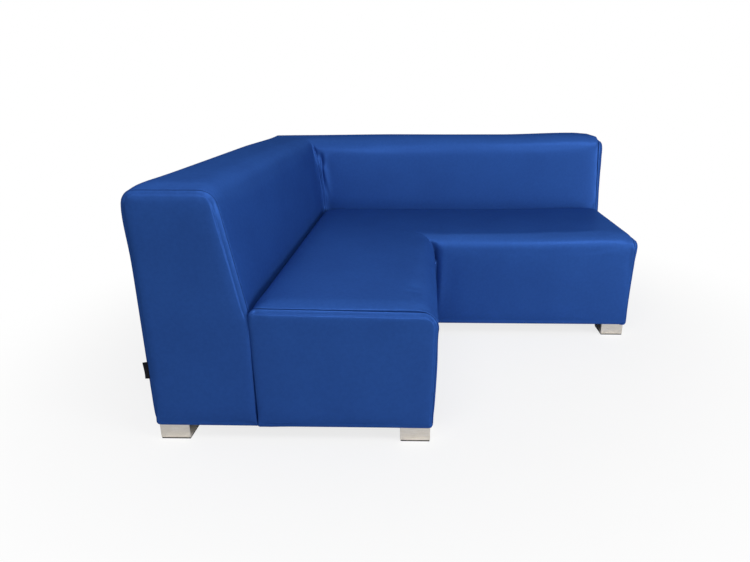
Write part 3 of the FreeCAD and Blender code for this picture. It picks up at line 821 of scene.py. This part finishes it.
def backRelief(data, wing, seed):
    gap, mitre, along = (readValues(data, key) for key in ("seamGap", "mitreGap", "along"))
    level, across, up = (readValues(data, key) for key in ("levelAt", "acrossAt", "upAt"))
    facing = np.maximum(across, 0)
    push = seamRelief(gap, along, seed)
    upper = smooth(0.40, 0.47, level) * (1 - smooth(0.70, 0.735, level)) * facing
    # The covers meet in a low welt with a dip beside it, on the right high up and on the left lower down
    high = smooth(0.60, 0.66, level)
    welt = cornerFold["welt"] + cornerFold["unevenness"] * ripple(along, seed + 3)
    push += upper * welt * bell(mitre, 0.0, 0.0042)
    if wing == "right":
        push -= cornerFold["dip"][wing] * upper * high * bell(mitre, 0.0100, 0.0045)
        # A fold that opens upwards, and the stuffing that swells past it
        reach = np.interp(level, cornerFold["levels"], cornerFold["reach"])
        strong = smooth(0.47, 0.60, level)
        upper = upper * (1 - smooth(0.655, 0.690, level))
        fold, swell = (low + more * strong for low, more in (cornerFold["fold"], cornerFold["swell"]))
        push -= upper * fold * bell(mitre, reach, 0.0048 + 0.0030 * strong)
        push += upper * swell * bell(mitre, reach + 0.022, 0.013)
    else:
        push += cornerBow(level) * upper * np.exp(-mitre / 0.07)
        push -= cornerFold["dip"][wing] * upper * (1 - high) * bell(mitre, 0.0095, 0.0050)
    recess = cornerFold["faceRecess"] * facing * bell(level, 0.415, 0.032)
    push -= recess * smooth(0.02, 0.14, gap) * smooth(0.0, 0.05, mitre)
    low = facing * (1 - smooth(jointLevel - 0.03, jointLevel + 0.005, level)) * smooth(0.012, 0.05, gap)
    push -= relief["jointRecess"] * low
    push += baseSag * np.maximum(-up, 0) ** 2 + backFullness(wing, gap, mitre, level, across, up)
    return push, gap, mitre, up


# Deep crease where the seat's two fronts meet, the covers' waist beside it, its dip in the top, and the shade
# painted into it
seatCrease = {"depth": 0.0135, "width": 0.016, "waist": 0.0030, "beside": 0.0022, "top": 0.0026, "shade": 0.5}


def makeSeatBand():
    costs = bandCosts(seatShape, tracedSeat)
    left, leftValues = bandSheet(seatShape, "left", costs, tracedSeat, 0)
    right, rightValues = bandSheet(seatShape, "right", costs, tracedSeat, 0)
    rows, leftColumns = left.shape[:2]
    rightColumns = right.shape[1]
    # Both wings share the points of the mitre, which are each grid's last column
    joined = np.concatenate([left, right[:, -2::-1]], 1)
    values = {key: np.concatenate([leftValues[key], rightValues[key][:, -2::-1]], 1) for key in leftValues}
    values["side"] = np.concatenate(
        [-np.ones((rows, leftColumns - 1)), np.zeros((rows, 1)), np.ones((rows, rightColumns - 1))], 1
    )
    values["edge"] = np.minimum(values["seamGap"], endGaps(rows)) * offBase(joined)
    piece = meshFrom("seat_cover", joined.reshape(-1, 3), gridFaces(*joined.shape[:2], flip=True), values)
    # Laid flat, the cover is an L as wide as its outline is long
    cut, girth = areaOf(piece), cutSize(left)[0]
    flat = (cutSize(left)[1] + girth / 2, cutSize(right)[1] + girth / 2)
    faces, points, outward = swell(piece)
    data = piece.data
    push, gap, lower, up, facing = seatRelief(data)
    writePoints(data, points + outward * push[:, None])
    across, upright = values["acrossAt"].ravel(), values["upAt"].ravel()
    inner, near = values["seamGap"].ravel() > 0.010, values["mitreGap"].ravel()
    borders = [f"seat_border_foam_{wing}" for wing in wings]
    front = inner & (across > 0.75) & (upright > -0.5) & (near > 0.040)
    border = padUnder(piece, faces, "seat_border_pad", front, np.full(len(across), 0.016), *borders)
    blocks = [f"seat_foam_{wing}" for wing in wings]
    thick = 0.030 + 0.045 * np.maximum(upright, 0)
    body = inner & (across < 0.75) & (upright > -0.3) & ~((across > 0.1) & (near < 0.040))
    block = padUnder(piece, faces, "seat_pad", body, thick, *blocks)
    mitre = readValues(data, "mitreGap")
    # Painted shade along the seams and down the crease where the seat's fronts meet
    crease = np.maximum(creaseShade(gap), seatCrease["shade"] * lower * bell(mitre, 0, 0.010))
    # Lighter just beside the seam as a painted highlight, and on the seat's front-top edge, partly wear and
    # partly painted highlight
    wearAndSheen = 0.55 * bell(gap, 0.005, 0.004) + 0.5 * bell(up, 0.6, 0.35) * facing
    return closeCover(piece, "seat_band", crease, wearAndSheen, flat, cut, border, block)


def seatRelief(data):
    gap, mitre, along, side = (readValues(data, key) for key in ("seamGap", "mitreGap", "along", "side"))
    level, depth, across, up = (readValues(data, key) for key in ("levelAt", "depthAt", "acrossAt", "upAt"))
    facing = np.maximum(across, 0)
    push = seamRelief(gap, along, 5)
    lower = smooth(0.30, 1.0, facing) * smooth(baseLevel, baseLevel + 0.05, level)
    push -= seatCrease["depth"] * lower * np.exp(-((mitre / seatCrease["width"]) ** 1.5))
    waist = lower * bell(level, 0.22, 0.10)
    rolled = seatCrease["waist"] * waist * bell(mitre, 0.034, 0.013)
    push += rolled - seatCrease["beside"] * waist * bell(mitre, 0.075, 0.026)
    nearFront = bell(depth, 0.805, 0.040) * np.maximum(up, 0)
    push -= seatCrease["top"] * nearFront * bell(mitre, 0, 0.014)
    push -= relief["jointRecess"] * (np.maximum(-across, 0) * smooth(0.012, 0.05, gap))
    push += baseSag * np.maximum(-up, 0) ** 2 + seatFullness(gap, level, across, up)
    raised = fullness["seatRightEnd"] * (1 - smooth(0.08, 0.45, gap)) * rise(0.030, gap)
    push += raised * (side > 0) * np.maximum(up, 0) ** 1.5
    return push, gap, lower, up, facing


# End panels: a flat filled with a patch between four sides, and the roll round it up to the seam
panelGrid = {
    "acrossCount": {"back": 20, "seat": 34},
    "upCount": {"back": 46, "seat": 26},
    "ring": (0, 0.0008, 0.0018, 0.0032, 0.0052),
    "ringSteps": 6,
    "cap": 0.0035,
}


def makeEndPanel(name, wing, seed):
    shape, trace = (backShape, tracedBack) if name == "back" else (seatShape, tracedSeat)
    across, upward = panelGrid["acrossCount"][name], panelGrid["upCount"][name]
    marks = [trace["middles"][corner] for corner in shape["splits"]]
    marks.append(marks[0] + trace["costs"][-1])
    sides = zip(marks, marks[1:], (upward, across, upward, across))
    costs = np.concatenate([np.linspace(first, last, count, endpoint=False) for first, last, count in sides])
    points, normals, lengths = readTrace(trace, costs)
    seam = byRegion(shape, "seam", points, normals)
    # Rings from the seam inwards to the flat, whose edge is the last one
    fixed = np.array(panelGrid["ring"])
    inner = np.linspace(0, 1, panelGrid["ringSteps"] + 1)[1:]
    gaps = np.concatenate(
        [np.tile(fixed, (len(points), 1)), fixed[-1] + (seam[:, None] - fixed[-1]) * inner], 1
    )
    rings = [
        spot(wing, *overEdge(shape, wing, points, normals, seam - gaps[:, ring]))
        for ring in range(gaps.shape[1])
    ]
    loop = rings[-1]
    rear = loop[:upward + 1]
    top = loop[upward:upward + across + 1]
    front = loop[upward + across:2 * upward + across + 1][::-1]
    base = np.concatenate([loop[2 * upward + across:], loop[:1]])[::-1]
    u = np.linspace(0, 1, across + 1)[None, :, None]
    v = np.linspace(0, 1, upward + 1)[:, None, None]
    patch = (
        (1 - v) * base[None] + v * top[None] + (1 - u) * rear[:, None] + u * front[:, None]
        - (1 - u) * (1 - v) * base[0] - u * (1 - v) * base[-1] - (1 - u) * v * top[0] - u * v * top[-1]
    )
    columns = across + 1
    corners = [patch.reshape(-1, 3)]
    rim = (
        [row * columns for row in range(upward)]
        + [upward * columns + column for column in range(across)]
        + [row * columns + across for row in range(upward, 0, -1)]
        + list(range(across, 0, -1))
    )
    faces = gridFaces(upward + 1, columns)
    nearest = np.minimum(np.minimum(u, 1 - u) * 0.3, np.minimum(v, 1 - v) * 0.5)
    inside = seam.max() + 0.5 * nearest.reshape(-1)
    inside[rim] = gaps[:, -1]
    seamGap, alongAll = [inside], [np.zeros(len(inside))]
    alongAll[0][rim] = lengths
    previous = rim
    count = len(points)
    for ring in range(gaps.shape[1] - 2, -1, -1):
        offset = sum(len(part) for part in corners)
        corners.append(rings[ring])
        seamGap.append(gaps[:, ring])
        alongAll.append(lengths)
        current = list(range(offset, offset + count))
        for index in range(count):
            after = (index + 1) % count
            faces.append((previous[index], previous[after], current[after], current[index]))
        previous = current
    gapValues = np.concatenate(seamGap)
    if wing == "right":
        faces = [face[::-1] for face in faces]
    spread = np.concatenate(corners)
    values = {"seamGap": gapValues, "edge": gapValues * offBase(spread), "along": np.concatenate(alongAll)}
    piece = meshFrom(f"{name}_end_cover_{wing}", spread, faces, values)
    cut = areaOf(piece)
    size = points.max(0) - points.min(0) + 2 * shape["seam"]["top"]
    coarse, spots, outward = swell(piece, panelGrid["cap"])
    data = piece.data
    gap, along = readValues(data, "seamGap"), readValues(data, "along")
    push = seamRelief(gap, along, seed) + baseSag * np.maximum(-outward[:, 2], 0) ** 2
    inward = spots[:, 0] - cornerX if wing == "left" else cornerY - spots[:, 1]
    push += endFullness(name, wing, gap, inward, spots[:, 2])
    writePoints(data, spots + outward * push[:, None])
    thin = np.full(len(gapValues), 0.0055)
    kept = (gapValues > 0.003) & (spread[:, 2] > baseLevel + 0.022)
    pad = padUnder(piece, coarse, f"{name}_end_pad_{wing}", kept, thin, f"{name}_end_foam_{wing}")
    ring = slice(len(gapValues) - count, len(gapValues))
    seamPaths.append(readPoints(data)[ring] + readNormals(data)[ring] * 0.0002)
    # Lighter just beside the seam: a painted highlight on the rolled edge, broken into patches like wear
    wearAndSheen, flat = 0.55 * bell(gap, 0.006, 0.005), (float(size[0]), float(size[1]))
    cut = min(cut, float(size[0] * size[1]))
    return closeCover(piece, f"{name}_end_panel_{wing}", creaseShade(gap), wearAndSheen, flat, cut, pad)


covers = {}
for seed, wing in enumerate(wings):
    covers[f"back_{wing}"] = makeBackBand(wing, seed)
    covers[f"backEnd_{wing}"] = makeEndPanel("back", wing, 7 + seed)
    covers[f"seatEnd_{wing}"] = makeEndPanel("seat", wing, 11 + seed)
covers["seat"] = makeSeatBand()
for name, piece in covers.items():
    print(f"cover {piece.name}: {areaOf(piece) / 2:.3f} square metres, {len(piece.data.polygons)} faces")


# What repeats along a line: threads in the seams, staples under the base
def lineTree(name, rounded):
    tree = bpy.data.node_groups.new(name, "GeometryNodeTree")
    tree.is_modifier = True
    tree.interface.new_socket("Geometry", in_out="OUTPUT", socket_type="NodeSocketGeometry")
    tree.interface.new_socket("Geometry", in_out="INPUT", socket_type="NodeSocketGeometry")
    for label in ("Pitch", "Length", "Width", "Height"):
        tree.interface.new_socket(label, in_out="INPUT", socket_type="NodeSocketFloat")
    tree.interface.new_socket("Material", in_out="INPUT", socket_type="NodeSocketMaterial")
    given = tree.nodes.new("NodeGroupInput").outputs
    curve = addNode(tree, "GeometryNodeMeshToCurve", {"Mesh": given["Geometry"]})
    inputs = {"Curve": curve.outputs["Curve"], "Length": given["Pitch"]}
    spots = addNode(tree, "GeometryNodeCurveToPoints", inputs, mode="LENGTH")
    if rounded:
        inputs = {"Vertices": 6, "Radius": given["Width"], "Depth": given["Length"]}
        body = addNode(tree, "GeometryNodeMeshCylinder", inputs, fill_type="TRIANGLE_FAN")
    else:
        inputs = {0: given["Height"], 1: given["Width"], 2: given["Length"]}
        size = addNode(tree, "ShaderNodeCombineXYZ", inputs)
        body = addNode(tree, "GeometryNodeMeshCube", {"Size": size.outputs[0]})
    inputs = {0: (-0.05, -0.05, -0.05), 1: (0.05, 0.05, 0.05), "Seed": 4}
    jitter = addNode(tree, "FunctionNodeRandomValue", inputs, data_type="FLOAT_VECTOR")
    inputs = {"Rotation": spots.outputs["Rotation"], "Rotate By": jitter.outputs[0]}
    turned = addNode(tree, "FunctionNodeRotateRotation", inputs, rotation_space="LOCAL")
    placed = addNode(tree, "GeometryNodeInstanceOnPoints", {
        "Points": spots.outputs["Points"],
        "Instance": body.outputs["Mesh"],
        "Rotation": turned.outputs["Rotation"],
    })
    real = addNode(tree, "GeometryNodeRealizeInstances", {"Geometry": placed.outputs["Instances"]})
    inputs = {"Geometry": real.outputs["Geometry"], "Material": given["Material"]}
    painted = addNode(tree, "GeometryNodeSetMaterial", inputs)
    tree.links.new(painted.outputs["Geometry"], tree.nodes.new("NodeGroupOutput").inputs["Geometry"])
    return tree


def alongLines(name, tree, paths, slotName, **inputs):
    # Paths are closed rings of points
    edges, start = [], 0
    for path in paths:
        edges += [(start + index, start + (index + 1) % len(path)) for index in range(len(path))]
        start += len(path)
    piece = meshFrom(name, np.concatenate(paths), [], edges=edges)
    modifier = piece.modifiers.new("line", "NODES")
    modifier.node_group = tree
    sockets = {item.name: item.identifier for item in tree.interface.items_tree if item.in_out == "INPUT"}
    for label, value in inputs.items():
        modifier[sockets[label]] = value
    bake(piece)
    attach(piece, "root")
    print(f"{name}: {len(piece.data.polygons)} faces")
    return piece


threadLook = makeWeave("blue_thread", (30, 62, 128), (16, 36, 80), 1400, 0.7)
alongLines(
    "seam_threads", lineTree("threads", True), seamPaths, "cover",
    Pitch=0.0042, Length=0.0034, Width=0.00032, Material=threadLook,
)


# Dust covers: black felted sheet over the open base, sagging a little between its staples
dustSheet = {
    "spacing": 0.02,
    "sag": 0.0030,
    "sagReach": 0.10,
    "folds": 0.0010,
    "thickness": 0.0007,
    "stapleInset": 0.007,
}


def makeDustCover(wing, seed):
    low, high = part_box(f"dust_cover_{wing}")
    x0, y0, x1, y1, bottom = low.x, low.y, high.x, high.y, low.z
    columns, rows = (int(side / dustSheet["spacing"]) + 1 for side in (x1 - x0, y1 - y0))
    x, y = np.meshgrid(np.linspace(x0, x1, columns), np.linspace(y0, y1, rows))
    inward = np.minimum(np.minimum(x - x0, x1 - x), np.minimum(y - y0, y1 - y))
    sag = dustSheet["sag"] * smooth(0.0, dustSheet["sagReach"], inward)
    waves = np.sin(x * 41 + seed) * np.sin(y * 29 + 1.7 * seed) + 0.6 * np.sin((x + y) * 67 + seed)
    folds = dustSheet["folds"] * waves * smooth(0.004, 0.06, inward)
    grid = np.stack([x, y, bottom + 0.0002 - sag + folds], -1)
    piece = meshFrom(f"dust_sheet_{wing}", grid.reshape(-1, 3), gridFaces(rows, columns, flip=True))
    subdivide(piece)
    thicken(piece, dustSheet["thickness"])
    finishSoft(piece, "dust_cover", f"dust_cover_{wing}")
    inset = dustSheet["stapleInset"]
    a, b, c, d = x0 + inset, y0 + inset, x1 - inset, y1 - inset
    return np.array([(a, b, bottom), (c, b, bottom), (c, d, bottom), (a, d, bottom)])


staplePaths = [makeDustCover(wing, 2 + index) for index, wing in enumerate(wings)]
for path in staplePaths:
    path[:, 2] -= 0.0009
alongLines(
    "base_staples", lineTree("staples", False), staplePaths, "zinc_steel",
    Pitch=0.045, Length=0.0105, Width=0.0012, Height=0.0006, Material=looks["zinc_steel"],
)


# Label loop: a folded black ribbon caught in the rear seam, left bare
ribbon = {
    "straight": 0.93,  # share of its reach before it turns back
    "steps": 10,
    "half": 0.0004,
    "bulge": {-1: 0.0007, 1: 0.0006},
    "turn": (0.0010, 0.0005),
    "turnSteps": 8,
    "flat": (0.032, 0.052),
    "lean": 0.0022,
    "leanWave": (3.4, 0.6),
    "droop": 0.0012,
    "thickness": 0.00035,
}


def ribbonSide(low, high, way):
    # Points along one side of the folded ribbon, from the seam outwards
    centre, reach, steps = (low.y + high.y) / 2, high.x - low.x, ribbon["steps"]
    points = []
    for step in range(steps + 1):
        bulge = way * ribbon["bulge"][way] * math.sin(math.pi * step / steps)
        out = high.x - reach * ribbon["straight"] * step / steps
        points.append((out, centre + way * ribbon["half"] + bulge))
    return points


def makeLabel():
    low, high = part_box("label_loop")
    centre, reach = (low.y + high.y) / 2, high.x - low.x
    profile = ribbonSide(low, high, -1)
    (inward, aside), steps = ribbon["turn"], ribbon["turnSteps"]
    for step in range(1, steps):
        angle = math.pi * step / steps
        profile.append((low.x + inward - inward * math.sin(angle), centre - aside * math.cos(angle)))
    profile = np.array(profile + ribbonSide(low, high, 1)[::-1])
    heights = np.linspace(low.z, high.z, 27)
    out = (high.x - profile[:, 0]) / reach
    grid = np.empty((len(heights), len(profile), 3))
    grid[..., 0] = profile[:, 0]
    turns, start = ribbon["leanWave"]
    wave = np.sin((heights[:, None] - low.z) / ribbon["flat"][1] * turns + start)
    grid[..., 1] = profile[:, 1] + ribbon["lean"] * out * wave
    grid[..., 2] = heights[:, None] - ribbon["droop"] * out ** 2
    rows, columns = grid.shape[:2]
    piece = meshFrom("label_ribbon", grid.reshape(-1, 3), gridFaces(rows, columns))
    subdivide(piece)
    thicken(piece, ribbon["thickness"])
    finishSoft(piece, "label", "label_loop")


makeLabel()
print("threads, staples, dust covers and label made")


# Camera, as fitted to the photograph
cameraSet = {
    "place": (-0.0307, -2.1782, 1.0099),
    "lens": 26.82,
    "pitch": 0.3008,
    "turn": 0.0198,
    "shift": (-0.047, -0.034),
}
camera = bpy.data.objects.new("camera", bpy.data.cameras.new("camera"))
bpy.context.scene.collection.objects.link(camera)
camera.location = cameraSet["place"]
camera.rotation_euler = (math.pi / 2 - cameraSet["pitch"], 0, cameraSet["turn"])
camera.data.lens = cameraSet["lens"]
camera.data.sensor_width = 36
camera.data.shift_x, camera.data.shift_y = cameraSet["shift"]
camera.data.clip_start = 0.05
camera.data.clip_end = 60
bpy.context.scene.camera = camera

# Light
lightSet = {
    "world": 0.27,
    "room": 0.38,
    "ceiling": 1.75,
    "heights": (0.02, 0.55),  # between which the room turns into the ceiling
    "lamps": {
        "near": {"place": (-0.5, -1.7, 2.0), "aim": (-0.3, -0.6, 0.3), "size": 0.8, "power": 9.7},
        "right": {"place": (3.2, -2.0, 0.9), "aim": (0, 0, 0.4), "size": 1.6, "power": 54},
        "high": {"place": (1.6, -1.8, 3.2), "aim": (0.2, 0, 0.4), "size": 1.4, "power": 30},
    },
}


def fadeOf(tree, value, start, stop, first, last):
    inputs = {"Value": value, "From Min": start, "From Max": stop, "To Min": first, "To Max": last}
    return addNode(tree, "ShaderNodeMapRange", inputs, interpolation_type="SMOOTHSTEP").outputs["Result"]


def addLamp(name, facts):
    lamp = bpy.data.objects.new(name, bpy.data.lights.new(name, "AREA"))
    bpy.context.scene.collection.objects.link(lamp)
    lamp.data.shape = "DISK"
    lamp.data.size = facts["size"]
    lamp.data.energy = facts["power"]
    lamp.location = facts["place"]
    aim = np.array(facts["aim"]) - np.array(facts["place"])
    lamp.rotation_euler = (
        math.atan2(math.hypot(aim[0], aim[1]), -aim[2]), 0, math.atan2(aim[1], aim[0]) - math.pi / 2
    )


for name, facts in lightSet["lamps"].items():
    addLamp(name + "_light", facts)

# White to the camera, even to matt surfaces, and to shiny ones a bright ceiling over a dimmer room
world = bpy.data.worlds.new("studio")
world.use_nodes = True
bpy.context.scene.world = world
tree = world.node_tree
rays = addNode(tree, "ShaderNodeLightPath")
direction = addNode(tree, "ShaderNodeTexCoord").outputs["Generated"]
height = addNode(tree, "ShaderNodeSeparateXYZ", {0: direction}).outputs["Z"]
ceiling = fadeOf(tree, height, *lightSet["heights"], lightSet["room"], lightSet["ceiling"])
inputs = {0: rays.outputs["Is Glossy Ray"], 2: lightSet["world"], 3: ceiling}
shiny = addNode(tree, "ShaderNodeMix", inputs)
plain = maths(tree, "MAXIMUM", rays.outputs["Is Camera Ray"], rays.outputs["Is Transmission Ray"])
seen = addNode(tree, "ShaderNodeMix", {0: plain, 2: shiny.outputs[0], 3: 1.0})
tree.links.new(seen.outputs[0], tree.nodes["Background"].inputs["Strength"])
tree.nodes["Background"].inputs["Color"].default_value = (1, 1, 1, 1)


# Floor: takes the shadow near the sofa and turns to plain white away from it
floorLook = {"fade": (0.7, 1.9), "glow": (0.78, 1.0), "roughness": 0.8, "specular": 0.1, "reach": 14}


def makeFloor():
    material, tree, shader = newMaterial("white_floor")
    point = addNode(tree, "ShaderNodeTexCoord").outputs["Object"]
    away = addNode(tree, "ShaderNodeVectorMath", {0: point}, operation="LENGTH").outputs["Value"]
    fade = fadeOf(tree, away, *floorLook["fade"], *floorLook["glow"])
    speckle = ramp(tree, noiseOf(tree, point, 9, 3), [(0.3, grey(0.93)), (0.7, grey(0.95))])
    matt = {"Roughness": floorLook["roughness"], "Specular IOR Level": floorLook["specular"]}
    feed(tree, shader, {"Base Color": speckle, **matt})
    glow = addNode(tree, "ShaderNodeEmission", {"Color": (1, 1, 1, 1), "Strength": 1.0})
    rays = addNode(tree, "ShaderNodeLightPath")
    plain = maths(tree, "MULTIPLY", fade, rays.outputs["Is Camera Ray"])  # paler to the camera
    mix = addNode(tree, "ShaderNodeMixShader", {0: plain, 1: shader.outputs[0], 2: glow.outputs[0]})
    tree.links.new(mix.outputs[0], tree.nodes["Material Output"].inputs["Surface"])
    corners = floorLook["reach"] * np.array([(-1, -1, 0), (1, -1, 0), (1, 1, 0), (-1, 1, 0)], float)
    floor = meshFrom("floor", corners, [(0, 1, 2, 3)])
    floor.data.materials.append(material)


makeFloor()
bpy.context.scene.view_settings.view_transform = "Standard"
print("camera, lights and floor set")
